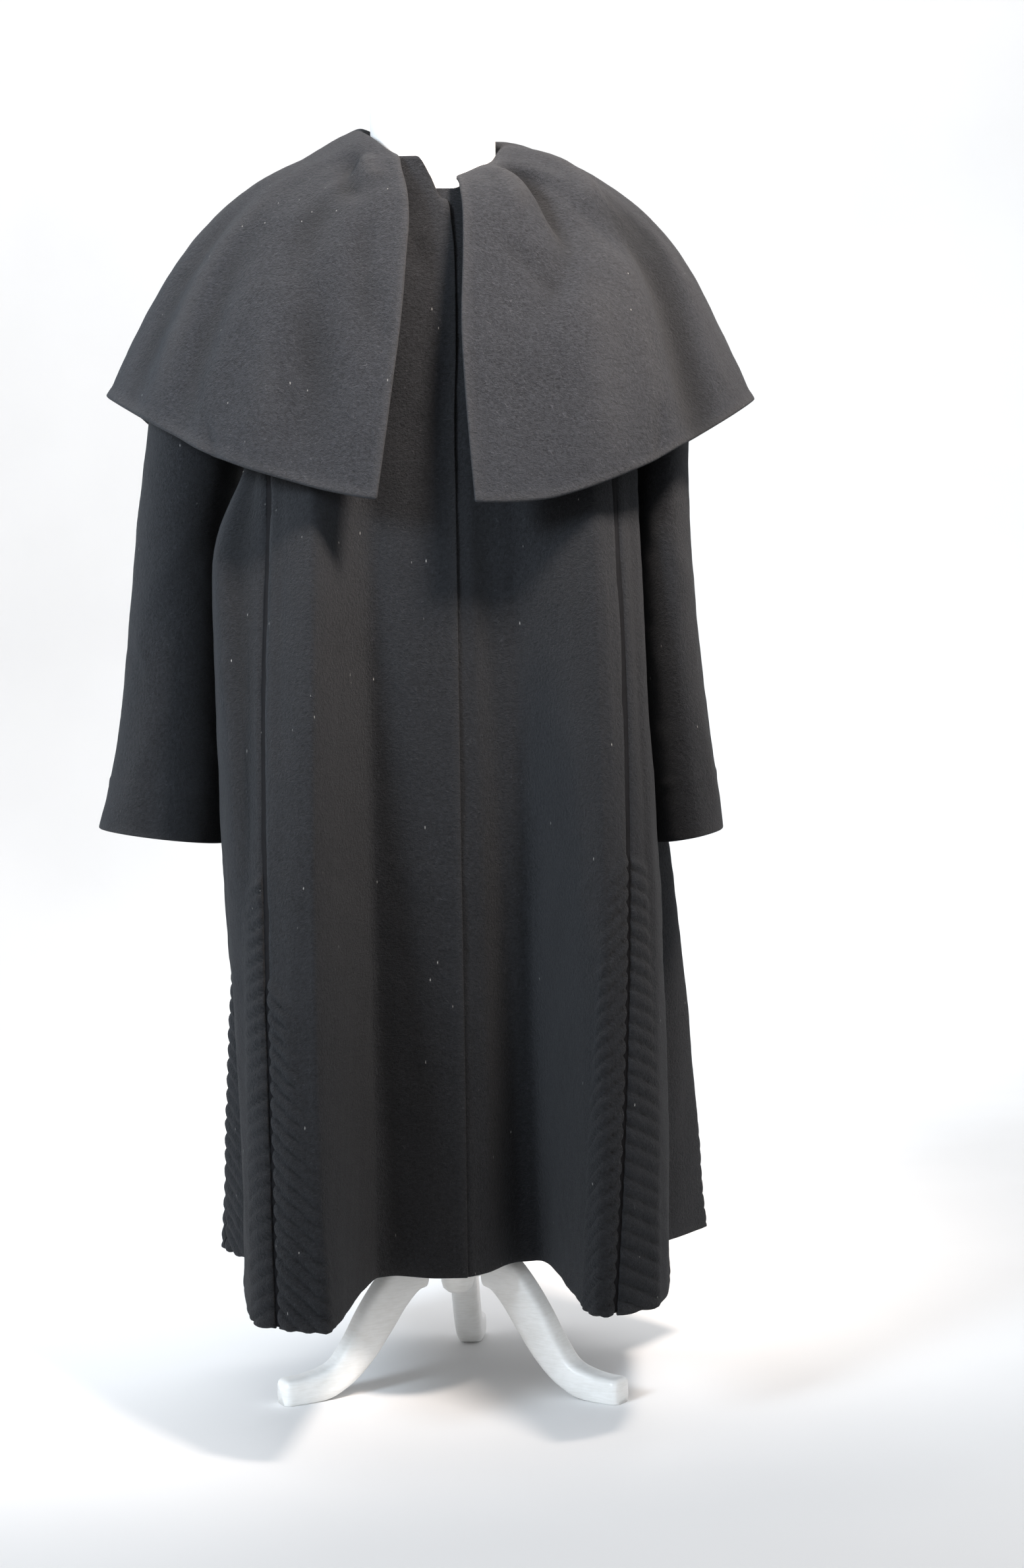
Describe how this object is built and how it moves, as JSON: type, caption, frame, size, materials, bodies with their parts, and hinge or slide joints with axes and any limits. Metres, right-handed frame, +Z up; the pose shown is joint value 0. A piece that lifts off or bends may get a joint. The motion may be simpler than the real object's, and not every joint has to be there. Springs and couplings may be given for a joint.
{
  "type": "cape-collar princess coat on a dress form",
  "caption": "Long flared princess-line coat with a wide cape collar, open cuffs and velvet-piped seams between chevron tucks, worn on a limbless dress form with a tripod stand.",
  "frame": {"origin": "on the floor, under the middle of the whole part's footprint", "axes": "+Z up; the coat faces -Y; +X is the wearer's left, the viewer's right when seen from the front"},
  "size_m": [0.6108, 0.5161, 1.205],
  "materials": {
    "wool": "matt napped wool melton",
    "velvet": "short-pile cotton velvet",
    "jersey": "smooth white jersey cover",
    "paint": "satin white paint on wood"
  },
  "bodies": {
    "root": {"front_right": "wool", "front_left": "wool", "side_front_right": "wool", "side_front_left": "wool", "side_back_right": "wool", "side_back_left": "wool", "back": "wool", "velvet_right_front_seam": "velvet", "velvet_left_front_seam": "velvet", "velvet_right_back_seam": "velvet", "velvet_left_back_seam": "velvet", "sleeve_right": "wool", "sleeve_left": "wool", "cape_collar": "wool", "dress_form": "jersey", "stand_pole": "paint", "stand_hub": "paint", "stand_leg_1": "paint", "stand_leg_2": "paint", "stand_leg_3": "paint"}
  },
  "joints": []
}
